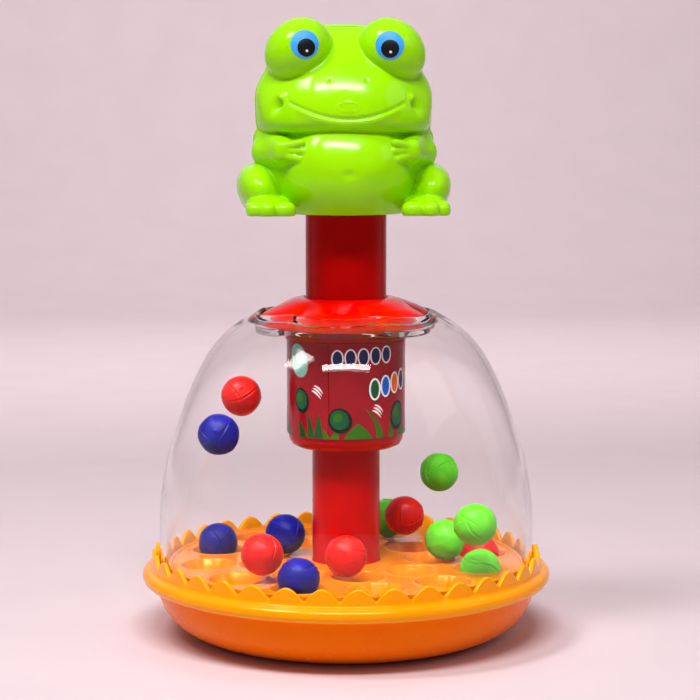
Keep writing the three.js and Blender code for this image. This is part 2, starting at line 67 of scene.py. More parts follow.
# ---- mesh helpers -----------------------------------------------------------------------
def piece(name, verts, faces, body, mats, stands_for=(), sharp=40, normals=None, index=None):
    """A mesh from millimetre points, riding on its body and standing for its CAD nodes."""
    mesh = bpy.data.meshes.new(name)
    verts = np.asarray(verts, np.float64) * MM
    mesh.from_pydata(verts.tolist(), [], [tuple(int(i) for i in f) for f in faces])
    mesh.validate()
    bm = bmesh.new()
    bm.from_mesh(mesh)
    if normals is None:
        bmesh.ops.remove_doubles(bm, verts=bm.verts, dist=1e-7)
        bmesh.ops.dissolve_degenerate(bm, edges=bm.edges, dist=1e-7)
        if index is None:
            bmesh.ops.recalc_face_normals(bm, faces=bm.faces)
    bm.to_mesh(mesh)
    bm.free()
    mesh.polygons.foreach_set("use_smooth", [True] * len(mesh.polygons))
    if normals is None:
        mesh.set_sharp_from_angle(angle=math.radians(sharp))
    obj = bpy.data.objects.new(name, mesh)
    bpy.context.scene.collection.objects.link(obj)
    for m in mats if isinstance(mats, (list, tuple)) else [mats]:
        mesh.materials.append(m)
    if index is not None and len(index) == len(mesh.polygons):
        mesh.polygons.foreach_set("material_index", [int(i) for i in index])
    if normals is not None and len(normals) == len(mesh.vertices):
        mesh.normals_split_custom_set_from_vertices([tuple(n) for n in normals])
    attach(obj, body)
    if stands_for:
        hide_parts(*stands_for)
    return obj


def rounded(points, steps=4):
    """A closed profile of (radius, height[, corner radius]) with its corners turned into arcs."""
    out = []
    n = len(points)
    for i, p in enumerate(points):
        r = p[2] if len(p) > 2 else 0
        if r <= 0:
            out.append((p[0], p[1]))
            continue
        a, b, c = (np.array(points[j % n][:2], float) for j in (i - 1, i, i + 1))
        u, v = a - b, c - b
        lu, lv = np.linalg.norm(u), np.linalg.norm(v)
        u, v = u / lu, v / lv
        half = math.acos(float(np.clip(u @ v, -1, 1))) / 2
        back = min(r / max(math.tan(half), 1e-6), 0.49 * lu, 0.49 * lv)
        s, e = b + u * back, b + v * back
        for k in range(steps + 1):
            t = k / steps
            q = (1 - t) ** 2 * s + 2 * t * (1 - t) * b + t * t * e
            out.append((float(q[0]), float(q[1])))
    return out


def smooth_line(points, steps=6):
    """A Catmull-Rom curve through the points."""
    p = np.array(points, float)
    p = np.vstack([2 * p[0] - p[1], p, 2 * p[-1] - p[-2]])
    out = []
    for i in range(1, len(p) - 2):
        for k in range(steps):
            t = k / steps
            out.append(
                0.5 * (2 * p[i] + (p[i + 1] - p[i - 1]) * t
                       + (2 * p[i - 1] - 5 * p[i] + 4 * p[i + 1] - p[i + 2]) * t * t
                       + (3 * p[i] - p[i - 1] - 3 * p[i + 1] + p[i + 2]) * t ** 3)
            )
    out.append(p[-2])
    return [tuple(q) for q in out]


def turned(profile, segments, warp=None):
    """Points and faces of a closed profile turned about Z; warp(r, z, angle) moves a point."""
    prof = np.array([q[:2] for q in profile], float)
    n = len(prof)
    ang = np.arange(segments) * 2 * math.pi / segments
    r = np.repeat(prof[None, :, 0], segments, 0)
    z = np.repeat(prof[None, :, 1], segments, 0)
    a = np.repeat(ang[:, None], n, 1)
    if warp:
        r, z = warp(r, z, a)
    v = np.stack([r * np.cos(a), r * np.sin(a), z], -1).reshape(-1, 3)
    i, j = np.meshgrid(np.arange(segments), np.arange(n), indexing="ij")
    i2, j2 = (i + 1) % segments, (j + 1) % n
    f = np.stack([i * n + j, i2 * n + j, i2 * n + j2, i * n + j2], -1).reshape(-1, 4)
    return v, f


# ---- materials --------------------------------------------------------------------------
def nodes_of(name):
    """A new material, its node tree and its main shader."""
    mat = bpy.data.materials.new(name)
    mat.use_nodes = True
    tree = mat.node_tree
    return mat, tree, tree.nodes["Principled BSDF"]


def noise(tree, scale, detail=3.0, stretch=None):
    """Noise in the object's own space; stretch scales it by axis."""
    coord = tree.nodes.new("ShaderNodeTexCoord")
    source = coord.outputs["Object"]
    if stretch:
        m = tree.nodes.new("ShaderNodeMapping")
        m.inputs["Scale"].default_value = stretch
        tree.links.new(source, m.inputs["Vector"])
        source = m.outputs["Vector"]
    n = tree.nodes.new("ShaderNodeTexNoise")
    n.inputs["Scale"].default_value = scale
    n.inputs["Detail"].default_value = detail
    tree.links.new(source, n.inputs["Vector"])
    return n.outputs["Fac"]


def spread(tree, source, low, high, src=(0.3, 0.7)):
    """A value mapped from the range src to the range low..high."""
    m = tree.nodes.new("ShaderNodeMapRange")
    m.inputs["From Min"].default_value, m.inputs["From Max"].default_value = src
    m.inputs["To Min"].default_value, m.inputs["To Max"].default_value = low, high
    tree.links.new(source, m.inputs["Value"])
    return m.outputs["Result"]


def plastic(name, color, other, rough=0.25, vary=0.06, mottle=90, bump=0.03, grain=900,
            sss=0.0, metal=0.0, stretch=None, edge=None, sheen=0.25, tint=(1, 1, 1)):
    """Moulded plastic or plated metal: mottled colour, uneven gloss, fine skin, a painted highlight on sharp
    edges.

    color and other are mixed by noise of scale mottle; rough varies by vary; bump and grain are the skin's
    depth and fineness; sheen is the strength of the gloss and tint its colour."""
    mat, tree, bsdf = nodes_of(name)
    link = tree.links.new
    mix = tree.nodes.new("ShaderNodeMix")
    mix.data_type = "RGBA"
    mix.inputs["A"].default_value = (*color, 1)
    mix.inputs["B"].default_value = (*other, 1)
    link(spread(tree, noise(tree, mottle, 4, stretch), 0, 1), mix.inputs["Factor"])
    shade = mix.outputs["Result"]
    # edge is a lighter colour mixed in where the surface is sharply convex: a painted highlight
    if edge:
        geo = tree.nodes.new("ShaderNodeNewGeometry")
        edge_highlight = tree.nodes.new("ShaderNodeMix")
        edge_highlight.data_type = "RGBA"
        edge_highlight.inputs["B"].default_value = (*edge, 1)
        link(spread(tree, geo.outputs["Pointiness"], 0, 0.6, (0.53, 0.62)), edge_highlight.inputs["Factor"])
        link(shade, edge_highlight.inputs["A"])
        shade = edge_highlight.outputs["Result"]
    link(shade, bsdf.inputs["Base Color"])
    link(spread(tree, noise(tree, mottle * 3, 5, stretch), rough - vary, rough + vary),
         bsdf.inputs["Roughness"])
    b = tree.nodes.new("ShaderNodeBump")
    b.inputs["Strength"].default_value = bump
    b.inputs["Distance"].default_value = 0.0004
    link(noise(tree, grain, 2, stretch), b.inputs["Height"])
    link(b.outputs["Normal"], bsdf.inputs["Normal"])
    bsdf.inputs["Metallic"].default_value = metal
    bsdf.inputs["Specular IOR Level"].default_value = sheen
    bsdf.inputs["Specular Tint"].default_value = (*tint, 1)
    if sss:
        bsdf.inputs["Subsurface Weight"].default_value = sss
        bsdf.inputs["Subsurface Radius"].default_value = (0.004, 0.004, 0.002)
        bsdf.inputs["Subsurface Scale"].default_value = 1.0
    return mat


def srgb(r, g, b):
    """Linear colour from 0-255 display values."""
    return tuple(((c / 255 + 0.055) / 1.055) ** 2.4 if c > 10 else c / 255 / 12.92 for c in (r, g, b))


BOWL = plastic("bowl_plastic", srgb(255, 122, 0), srgb(255, 117, 0), 0.24, 0.05, 60, 0.015, 700,
               sheen=0.14, tint=(1, 0.7, 0.2))
# The rim's edge colour is a painted highlight: a lighter yellow on its sharp convex edges.
RIM = plastic("rim_plastic", srgb(255, 160, 0), srgb(255, 153, 0), 0.2, 0.05, 70, 0.02, 800,
              edge=srgb(255, 205, 40), sheen=0.5, tint=(1, 0.88, 0.25))
DECK = plastic("deck_plastic", srgb(226, 120, 0), srgb(221, 114, 0), 0.12, 0.04, 70, 0.02, 500,
               sheen=0.6, tint=(1, 0.88, 0.25))
CAP = plastic("cap_plastic", srgb(234, 4, 0), srgb(226, 2, 0), 0.16, 0.05, 80, 0.03, 600,
              sheen=0.3, tint=(1, 0.6, 0.5))
COLUMN = plastic("column_plastic", srgb(178, 0, 0), srgb(166, 0, 0), 0.2, 0.05, 90, 0.03, 700,
                 sheen=0.22, tint=(1, 0.55, 0.5))
FROG = plastic("frog_plastic", srgb(154, 224, 0), srgb(146, 218, 0), 0.16, 0.05, 55, 0.02, 450,
               sss=0.08, sheen=0.24)
STEEL = plastic("plated_steel", (0.6, 0.61, 0.63), (0.5, 0.5, 0.52), 0.32, 0.1, 400, 0.08, 2500, metal=1.0,
                stretch=(1, 1, 0.15))
NYLON = plastic("nylon", (0.82, 0.8, 0.72), (0.76, 0.74, 0.66), 0.5, 0.08, 150, 0.05, 1200, sss=0.1)
LABEL = plastic("label_film", srgb(142, 0, 14), srgb(128, 0, 10), 0.16, 0.05, 110, 0.03, 350, sheen=0.3)
# Each ball's edge colour is a painted highlight: a lighter tone on its convex seam, nub and fold ridges.
BALLS = {
    "red": plastic("ball_red_plastic", srgb(212, 20, 8), srgb(194, 12, 4), 0.36, 0.1, 180, 0.1, 1100,
                   sss=0.05, edge=srgb(224, 48, 26), sheen=0.16),
    "blue": plastic("ball_blue_plastic", srgb(12, 14, 140), srgb(6, 6, 108), 0.4, 0.1, 180, 0.1, 1100,
                    edge=srgb(36, 38, 160), sheen=0.16),
    "green": plastic("ball_green_plastic", srgb(104, 208, 44), srgb(86, 192, 34), 0.4, 0.1, 180, 0.1, 1100,
                     sss=0.08, edge=srgb(118, 220, 66), sheen=0.16),
}


def printed(name, color, rough=0.18):
    """Thin ink or paint, a little darker in patches."""
    return plastic(name, color, tuple(c * 0.86 for c in color), rough, 0.04, 300, 0.02, 800)


CLEAR_IOR = 1.28  # under acrylic's 1.49, which keeps the reflected floor from hiding the deck


def clear_plastic():
    """Clear moulding that casts hardly any shadow, so nothing inside is left dark."""
    mat, tree, bsdf = nodes_of("clear_plastic")
    link = tree.links.new
    bsdf.inputs["Base Color"].default_value = (0.985, 0.985, 0.985, 1)
    bsdf.inputs["Transmission Weight"].default_value = 1.0
    bsdf.inputs["IOR"].default_value = CLEAR_IOR
    link(spread(tree, noise(tree, 60, 6), 0.0, 0.018), bsdf.inputs["Roughness"])
    b = tree.nodes.new("ShaderNodeBump")
    b.inputs["Strength"].default_value = 0.03
    b.inputs["Distance"].default_value = 0.0005
    link(noise(tree, 30, 1), b.inputs["Height"])
    link(b.outputs["Normal"], bsdf.inputs["Normal"])
    path = tree.nodes.new("ShaderNodeLightPath")
    through = tree.nodes.new("ShaderNodeBsdfTransparent")
    through.inputs["Color"].default_value = (0.97, 0.97, 0.97, 1)
    mix = tree.nodes.new("ShaderNodeMixShader")
    out = tree.nodes["Material Output"]
    link(path.outputs["Is Shadow Ray"], mix.inputs["Fac"])
    link(bsdf.outputs["BSDF"], mix.inputs[1])
    link(through.outputs["BSDF"], mix.inputs[2])
    link(mix.outputs["Shader"], out.inputs["Surface"])
    return mat


CLEAR = clear_plastic()

# ---- base bowl and rim ------------------------------------------------------------------
BOWL_OUT = smooth_line([(54, 0), (60, 0.8), (66, 2.9), (71, 6.0), (75.2, 10.6), (78, 16.4), (79.3, 21.7)])
BOWL_IN = [(74.6, 21.7), (74.6, 20), (76.4, 19.4), (75.4, 16), (73, 11.6), (69.4, 7.8), (65, 5), (59.4, 2.8),
           (53.5, 2), (8, 2), (8, 18.7), (3.3, 18.7), (3.3, 3.9), (2.1, 3.9), (2.1, 2.9), (5.4, 2.9),
           (5.4, 0)]
v, f = turned(BOWL_OUT + BOWL_IN, 192)
piece("bowl", v, f, "base", BOWL, ["base_bowl"])

SCALLOPS, SCALLOP_PHASE = 36, math.radians(-0.8)
TIP, VALLEY, FOOT = 35.1, 30.0, 29.2  # heights; the wall is plain below FOOT


def scallop(a):
    """Height of the wall's edge above FOOT, 1 at a tip: round tips and narrow valleys."""
    soft = 0.006  # rounds the bottom of each valley
    w = np.sqrt(np.cos((a - SCALLOP_PHASE) * SCALLOPS / 2) ** 2 + soft)
    w = np.clip((w - 0.0775) / (1.003 - 0.0775), 0, 1)
    return (VALLEY + (TIP - VALLEY) * w - FOOT) / (TIP - FOOT)


BEAD = [(81.9 + 3.1 * math.cos(t), 25.0 + 2.95 * math.sin(t)) for t in np.radians(np.arange(-95, 66, 10))]
WALL = [(82.4, 27.95), (81.75, 28.15), (81.35, 28.6), (81.15, 29.2), (81.05, 30.0), (80.95, 31.0),
        (80.85, 32.6), (80.8, 34.3), (80.66, 34.8), (80.3, 35.0), (79.5, 35.0), (79.15, 34.8), (79.0, 34.3),
        (78.6, 30.5), (78.4, 29.0), (78.4, 22.05)]


def crown(r, z, a):
    """The wall's scalloped edge."""
    return r, np.where(z > FOOT, FOOT + (z - FOOT) * scallop(a), z)


v, f = turned(BEAD + WALL, SCALLOPS * 18, crown)
piece("rolled_rim", v, f, "base", RIM, ["crown_ring"], sharp=50)

# ---- dome with its flower-shaped well ---------------------------------------------------
PETALS, PETAL_PHASE, PETAL_DIP, WALL_T = 6, math.radians(256.8), 0.085, 2.4


def petal(a):
    """1 on a petal's middle, falling to 1 - PETAL_DIP between petals."""
    c = np.sqrt(np.cos((a - PETAL_PHASE) * PETALS / 2) ** 2 + 0.003)
    return 1 - PETAL_DIP * (1 - np.clip(c, 0, 1) ** 0.85)


DOME_OUT = smooth_line([(77.9, 22.2), (77.8, 35), (77.3, 55), (74.6, 72), (71, 84.4), (66.7, 97),
                        (63.2, 105.4),
                        (59.2, 113.4), (55.2, 119.6), (49.9, 125.6), (44.4, 130)], 5)
DOME_IN = []
for k, q in enumerate(DOME_OUT):
    a, b = np.array(DOME_OUT[max(k - 1, 0)]), np.array(DOME_OUT[min(k + 1, len(DOME_OUT) - 1)])
    d = (b - a) / np.linalg.norm(b - a)
    DOME_IN.append((q[0] - d[1] * WALL_T, q[1] + d[0] * WALL_T))
DOME_IN[0] = (DOME_IN[0][0], 22.2)
WELL = [(40.6, 132.2), (38.8, 133.3), (38.1, 133.9), (37.6, 134.1), (37.0, 134.0), (36.5, 133.6),
        (36.25, 132.8),
        (36.1, 130.5), (36.0, 128.6), (35.5, 127.6), (34.2, 127.4), (28, 127.4), (24.6, 127.4), (24.4, 127.2),
        (24.4, 125.6), (24.6, 125.4), (30, 125.4), (36.4, 125.4), (37.6, 125.7), (38.0, 126.4), (38.1, 128.5),
        (38.2, 129.9), (38.7, 130.5), (40.2, 130.3)]
SHELL = DOME_OUT + WELL + DOME_IN[::-1]


def well(r, z, a):
    """The well's petals, faded in between the flat floor and the dome's round shoulder."""
    t = np.clip((r - 24.6) / 8.0, 0, 1) * np.clip((46 - r) / 8.0, 0, 1)
    t = np.where(z > 124.5, t * t * (3 - 2 * t), 0)
    return r * (1 + t * (petal(a) - 1)), z + 14 * t * (1 - petal(a))


v, f = turned(SHELL, 240, well)
piece("clear_dome", v, f, "base", CLEAR, ["dome"])

# ---- collar cap -------------------------------------------------------------------------
CAP_TOP = smooth_line([(18.0, 140.2), (20.5, 139.9), (24, 138.9), (28, 137.4), (31.8, 135.9),
                       (34.5, 134.4)], 4)
CAP_SIDE = [(35.35, 133.6), (35.65, 132.7), (35.7, 131.4), (35.5, 128.4), (34.8, 127.7), (32.6, 127.7),
            (32.6, 131.4), (28, 135.2), (21.3, 136.8), (21.3, 118.2), (17.1, 118.2), (17.1, 139.2),
            (17.2, 139.8), (17.5, 140.1)]


def cap_warp(r, z, a):
    """The cap's petals, with a crease between each two that deepens outwards."""
    t = np.clip((r - 21.5) / 10.5, 0, 1)
    t = t * t * (3 - 2 * t)
    c = np.clip(np.sqrt(np.cos((a - PETAL_PHASE) * PETALS / 2) ** 2 + 0.01), 0, 1)
    crease = np.where(z > 132, 2.0 * t * (1 - c ** 0.6), 0)
    return r * (1 + t * (petal(a) - 1)), z - crease


v, f = turned(CAP_TOP + CAP_SIDE, 288, cap_warp)
piece("flower_cap", v, f, "base", CAP, ["collar_cap"], sharp=55)

# ---- canister, plunger, lower column ----------------------------------------------------
v, f = turned(rounded([(10.5, 78, 0.3), (19.8, 78, 0), (22.5, 79.3, 0), (23.6, 81.3, 0), (23.9, 83.6, 0),
                       (23.9, 123.3, 0.2), (25.2, 123.6, 0.2), (25.2, 125.1, 0.3), (23.9, 125.1, 0),
                       (23.9, 127.7, 0),
                       (25, 128, 0.2), (23.9, 129, 0.2), (21.7, 129, 0.4), (21.7, 80.2, 0.5),
                       (10.5, 80.2, 0.3)]), 128)
piece("canister_body", v, f, "base", COLUMN, ["canister"])
v, f = turned(rounded([(14.9, 115.8, 0.2), (20.9, 115.8, 0.4), (20.9, 117.9, 0.4), (16.7, 117.9, 0.3),
                       (16.7, 174.2, 0.5), (10, 174.2, 0.2), (10, 184, 0.6), (0.01, 184, 0), (0.01, 171.8, 0),
                       (14.9, 171.8, 0.5)]), 128)
piece("plunger", v, f, "plunger", COLUMN, ["plunger_tube"])
v, f = turned(rounded([(3.3, 20, 0.2), (8, 20, 0.3), (8, 24.9, 0.3), (20, 24.9, 0.3), (20, 27, 0.3),
                       (14.1, 27, 0.2),
                       (14.1, 77.6, 0.5), (10.6, 77.6, 0.4), (10.6, 72.6, 0.2), (5, 72.6, 0.2),
                       (5, 70.4, 0.2),
                       (12, 70.4, 0.4), (12, 33, 0.4), (3.3, 33, 0.2)]), 128)
piece("deck_column", v, f, "rotor", COLUMN, ["lower_column"])

# ---- label ------------------------------------------------------------------------------
LABEL_R, LABEL_T, LABEL_LOW, LABEL_HIGH = 24.55, 0.4, 84.0, 123.1
SEAM, PRINT_FRONT = math.radians(249.5), math.radians(265.8)
ARC = 220  # points round the sleeve
arc = np.linspace(SEAM + 0.01, SEAM + 2 * math.pi - 0.01, ARC)
section = ((LABEL_R - LABEL_T, LABEL_LOW), (LABEL_R, LABEL_LOW), (LABEL_R, LABEL_HIGH),
           (LABEL_R - LABEL_T, LABEL_HIGH))
v = [(r * math.cos(t), r * math.sin(t), z) for t in arc for r, z in section]
f = [(4 * i + j, 4 * i + 4 + j, 4 * i + 4 + (j + 1) % 4, 4 * i + (j + 1) % 4)
     for i in range(ARC - 1) for j in range(4)]
end = 4 * (ARC - 1)
f += [(0, 1, 2, 3), (end, end + 3, end + 2, end + 1)]
piece("label", v, f, "base", LABEL, ["label_sleeve"])

PRINTS = [printed("print_white", srgb(240, 225, 225)), printed("print_leaf", srgb(18, 70, 14)),
          printed("print_grass", srgb(42, 98, 4)), printed("print_navy", srgb(26, 28, 78)),
          printed("print_green", srgb(6, 80, 40)), printed("print_blue", srgb(0, 86, 190)),
          printed("print_orange", srgb(214, 92, 0)), printed("print_mint", srgb(130, 190, 170)),
          printed("print_dark", srgb(8, 22, 10))]
WHITE, LEAF, GRASS, NAVY, GREEN, BLUE, ORANGE_P, MINT, DARK = range(9)
pv, pf, pi = [], [], []


def stamp(rings, layer, colour):
    """Rows of (u, z) points become a thin print; u is millimetres round the label from its front."""
    start, width = len(pv), len(rings[0])
    radius = LABEL_R + 0.03 + 0.03 * layer
    for row in rings:
        for u, z in row:
            t = PRINT_FRONT + u / LABEL_R
            pv.append((radius * math.cos(t), radius * math.sin(t), z))
    for i in range(len(rings) - 1):
        for j in range(width - 1):
            a = start + i * width + j
            pf.append((a, a + 1, a + width + 1, a + width))
            pi.append(colour)


def spot(u, z, ru, rz, layer, colour, tilt=0.0):
    """A filled oval of half-widths ru and rz."""
    rings = []
    for k in range(5):
        s = 0.02 + 0.98 * k / 4
        rings.append([(u + s * (ru * math.cos(t) * math.cos(tilt) - rz * math.sin(t) * math.sin(tilt)),
                       z + s * (ru * math.cos(t) * math.sin(tilt) + rz * math.sin(t) * math.cos(tilt)))
                      for t in np.linspace(0, 2 * math.pi, 33)])
    stamp(rings, layer, colour)


def blade(foot, wide, tip, tip_z, layer, colour, low=84.1):
    """A blade of grass: from a foot `wide` across, bending over to its tip."""
    rows = []
    for k in range(13):
        t = k / 12
        mid = foot + (tip - foot) * t * t
        z = low + (tip_z - low) * t
        half = wide / 2 * (1 - t) ** 0.75
        rows.append([(mid + half * s, z) for s in (-1, -0.5, 0, 0.5, 1)])
    stamp(rows, layer, colour)


def swoosh(u, z, size, layer):
    """Three short curved white strokes side by side."""
    for k in range(3):
        pts = []
        for i in range(9):
            t = i / 8
            w = 0.32 * math.sin(math.pi * (0.1 + 0.85 * t)) * size
            x = u + size * (k * 0.45 + 3.6 * t)
            y = z + size * (k * 0.95 - 2.4 * t * t - 0.3 * t)
            pts.append([(x - w * 0.5, y - w), (x + w * 0.5, y + w)])
        stamp(pts, layer, WHITE)


HALF_TURN = 77.1  # about half of the label's circumference; the print runs twice round it
for turn in (0.0, HALF_TURN):
    for foot, wide, tip, top, colour in (
            (-19.5, 4.6, -22.5, 91.5, LEAF), (-15.2, 3.4, -17.6, 95, LEAF), (-11.6, 4.2, -11.2, 94.4, LEAF),
            (-8.2, 3.0, -9.6, 88.2, GRASS), (-4.6, 3.6, -2.6, 88.6, GRASS), (5.2, 12.5, 5.0, 90.4, GRASS),
            (14.6, 3.4, 7.6, 97, GRASS), (20.6, 3.2, 19.6, 90.6, GRASS), (27.2, 4.6, 23.8, 94.6, GRASS),
            (33.0, 5.5, 31.6, 92.4, LEAF), (39.5, 4.2, 43.0, 95.6, GRASS), (46.0, 6.4, 45.4, 90.8, LEAF)):
        blade(foot + turn, wide, tip + turn, top, 0 if colour == LEAF else 1, colour)
    for u, z, a, b, tilt in ((-20.2, 99.0, 4.2, 5.2, 0.25), (-2.4, 91.6, 4.9, 5.2, 0.5),
                             (24.9, 92.6, 4.6, 6.0, -0.1)):
        spot(u + turn, z, a, b, 2, DARK, tilt)
        spot(u + turn - 0.3, z + 0.4, a * 0.78, b * 0.78, 3, GREEN, tilt)
        spot(u + turn - 0.9, z + 1.3, a * 0.42, b * 0.34, 4, GRASS, tilt)
    swoosh(-14.6 + turn, 103.4, 1.15, 2)
    swoosh(11.0 + turn, 95.6, 1.15, 2)
    spot(-22.0 + turn, 115.4, 5.2, 7.2, 2, MINT, 0.35)
    spot(-21.0 + turn, 117.0, 2.4, 3.2, 3, WHITE, 0.35)
    for k in range(5):  # plain navy beads with a white rim
        u, z = -3.4 + 5.3 * k + turn, 116.8 + 0.35 * k
        spot(u, z, 2.55, 3.7, 2, WHITE)
        spot(u, z, 1.95, 3.1, 3, NAVY)
    for k, colour in enumerate((GREEN, BLUE, ORANGE_P, NAVY)):
        u, z = 12.2 + 5.3 * k + turn, 104.2 + 1.0 * k
        spot(u, z, 3.1, 5.0, 1, DARK)
        spot(u, z, 2.7, 4.6, 2, WHITE)
        spot(u, z, 1.9, 3.8, 3, colour)
piece("label_print", pv, pf, "base", PRINTS, index=pi)

# ---- cupped deck ------------------------------------------------------------------------
DECK_TOP, CUP_DEPTH, CUP_WALL = 30.0, 9.5, 1.5
SLOPE_SHARE = 0.58  # share of a cup's radius that its sloping side takes
CUP_RINGS = ((12, 58.0, 7.3, 11.0), (9, 35.5, 353.8, 10.5))  # number, ring radius, first angle, cup radius
CUPS = []
for number, ring, first, cup in CUP_RINGS:
    for k in range(number):
        t = math.radians(first + 360 / number * k)
        CUPS.append((ring * math.cos(t), ring * math.sin(t), cup))


def pressed(x, y, top, grow=0.0, lip=0.0):
    """Height of a sheet at `top` with every cup pressed into it; `grow` widens the cups by a wall and
    `lip` raises a thin ring round each."""
    z = np.full_like(x, top)
    for cx, cy, r in CUPS:
        d = np.hypot(x - cx, y - cy) / (r + grow)
        t = np.clip((1 - d) / SLOPE_SHARE, 0, 1)
        dish = top - CUP_DEPTH * (t - 0.1 * np.sin(2 * math.pi * t) / (2 * math.pi))
        z = np.where(d < 1, np.minimum(z, dish), z)
        z = z + lip * np.exp(-(((d - 1) * (r + grow) - 0.5) / 0.55) ** 2)
    return z


DECK_BORE, DECK_SHEET, BEAD_RISE, SKIRT_LOW = 14.4, 2.4, 0.9, 25.8
GRID, AROUND = 0.4, 900  # the deck's mesh: step outwards, steps round
R = np.concatenate([np.arange(DECK_BORE, 72.2, GRID), [72.3, 72.6, 72.8, 73.0, 73.35, 73.7, 73.9, 74.0]])
A = np.arange(AROUND) * 2 * math.pi / AROUND
rr, aa = np.meshgrid(R, A)
x, y = rr * np.cos(aa), rr * np.sin(aa)
bead = BEAD_RISE * np.clip((rr - 72.3) / 0.6, 0, 1) * np.where(rr > 73.8, 0.75, 1)
top = pressed(x, y, DECK_TOP, lip=0.35) + bead
low = np.minimum(pressed(x, y, DECK_TOP - DECK_SHEET, CUP_WALL) + 0.9, DECK_TOP - DECK_SHEET)
low = np.where(rr > 71.8, SKIRT_LOW, low)
n, m = rr.shape
v = np.concatenate([np.stack([x, y, top], -1).reshape(-1, 3), np.stack([x, y, low], -1).reshape(-1, 3)])
i, j = np.meshgrid(np.arange(n), np.arange(m - 1), indexing="ij")
i2 = (i + 1) % n
up = np.stack([i * m + j, i * m + j + 1, i2 * m + j + 1, i2 * m + j], -1).reshape(-1, 4)
down = up[:, ::-1] + n * m
k = np.arange(n)
k2 = (k + 1) % n
edge = np.stack([k * m + m - 1, k * m + m - 1 + n * m, k2 * m + m - 1 + n * m, k2 * m + m - 1], -1)
bore = np.stack([k * m, k2 * m, k2 * m + n * m, k * m + n * m], -1)
piece("cupped_deck", v, np.concatenate([up, down, edge, bore]), "rotor", DECK, ["rotor_deck"],
      sharp=60)

# ---- return spring ----------------------------------------------------------------------
TURNS, COIL_R, WIRE = 4, 17.6, 0.55
SPRING_LOW, SPRING_RISE = 81.05, 33.9
v, f = [], []
steps, sides = TURNS * 48, 10
for s in range(steps + 1):
    t = s / steps
    a = t * TURNS * 2 * math.pi
    climb = (3 * t * t - 2 * t ** 3) * 0.35 + t * 0.65
    for q in range(sides):
        b = 2 * math.pi * q / sides
        r = COIL_R + WIRE * math.cos(b)
        v.append((r * math.cos(a), r * math.sin(a), SPRING_LOW + SPRING_RISE * climb + WIRE * math.sin(b)))
for s in range(steps):
    for q in range(sides):
        f.append((s * sides + q, s * sides + (q + 1) % sides,
                  (s + 1) * sides + (q + 1) % sides, (s + 1) * sides + q))
f += [tuple(range(sides)), tuple(range(steps * sides, (steps + 1) * sides))]
spring = piece("coil_spring", v, f, "base", STEEL, ["return_spring"])
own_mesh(spring)

# ---- balls ------------------------------------------------------------------------------
BALL_R = 8.5
ball_shape = bmesh.new()
bmesh.ops.create_icosphere(ball_shape, subdivisions=6, radius=1.0)
unit = np.array([p.co[:] for p in ball_shape.verts])
ball_faces = [[p.index for p in q.verts] for q in ball_shape.faces]
ball_shape.free()
rng = np.random.default_rng(11)


def moulded_ball(seed_turn):
    """Points of a soft ball: a parting seam, a gate nub, and folds where the skin has shrunk."""
    q = unit @ seed_turn.T
    r = np.full(len(q), BALL_R - 0.12)
    r += 0.13 * np.exp(-(q[:, 2] / 0.022) ** 2)
    r += 0.5 * np.exp(-(np.arccos(np.clip(q @ np.array([0.98, 0.0, 0.2]), -1, 1)) / 0.07) ** 2)
    for _ in range(7):
        axis = rng.normal(size=3)
        axis /= np.linalg.norm(axis)
        side = np.cross(axis, rng.normal(size=3))
        side /= np.linalg.norm(side)
        along = np.arctan2(q @ np.cross(axis, side), q @ side)
        off = q @ axis - rng.uniform(-0.3, 0.3) - 0.07 * np.sin(3 * along + rng.uniform(0, 6))
        reach = np.exp(-((along - rng.uniform(-2, 2)) / 0.75) ** 2)
        r -= 0.42 * reach * np.exp(-(off / 0.035) ** 2)
        r += 0.2 * reach * np.exp(-((off - 0.08) / 0.045) ** 2)
    r += 0.12 * np.sin(q[:, 0] * 5 + 1) * np.sin(q[:, 1] * 4 + 2) * np.sin(q[:, 2] * 5)
    return unit * np.minimum(r, BALL_R + 0.25)[:, None]


for node in sorted(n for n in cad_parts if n.startswith("ball_")):
    lo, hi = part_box(node)
    centre = np.array((lo + hi) / 2) / MM
    basis, _ = np.linalg.qr(rng.normal(size=(3, 3)))
    colour = node.split("_")[1]
    piece("moulded_" + node, moulded_ball(basis) + centre, ball_faces, node, BALLS[colour],
          [node], sharp=180)


# ---- frog -------------------------------------------------------------------------------
# One signed-distance shape in millimetres, turned into two hollow shells that meet at SPLIT.
SPLIT, HALF_GAP, FEET_Z, FROG_X = 1.0, 0.15, 174.8, -0.85
SKIN, BACK_PROUD, SCREW_Z = 2.2, 0.2, (232.0, 195.0)  # wall, step at the seam, heights of the two screws


def ball_like(p, c, r, q=2.0, plan=None):
    """Distance to an ellipsoid at c with half-widths r; q above 2 squares it up, and plan does so in plan."""
    plan = plan or q
    flat = (np.abs((p[0] - c[0]) / r[0]) ** plan + np.abs((p[1] - c[1]) / r[1]) ** plan) ** (q / plan)
    return ((flat + np.abs((p[2] - c[2]) / r[2]) ** q) ** (1 / q) - 1) * min(r)


def limb(p, a, b, r, r2=None):
    """Distance to a round bar from a to b, of radius r, tapering to r2."""
    a, b = np.array(a, float), np.array(b, float)
    d = b - a
    t = np.clip(sum((p[i] - a[i]) * d[i] for i in range(3)) / (d @ d), 0, 1)
    return (np.sqrt(sum((p[i] - a[i] - t * d[i]) ** 2 for i in range(3)))
            - (r if r2 is None else r + (r2 - r) * t))


def join(a, b, k):
    """Two shapes as one, with a fillet of about k."""
    h = np.clip(0.5 + 0.5 * (b - a) / k, 0, 1)
    return b * (1 - h) + a * h - k * h * (1 - h)


def carve(a, b, k):
    """Shape a without shape b, with an edge rounded by about k."""
    return -join(-a, b, k)


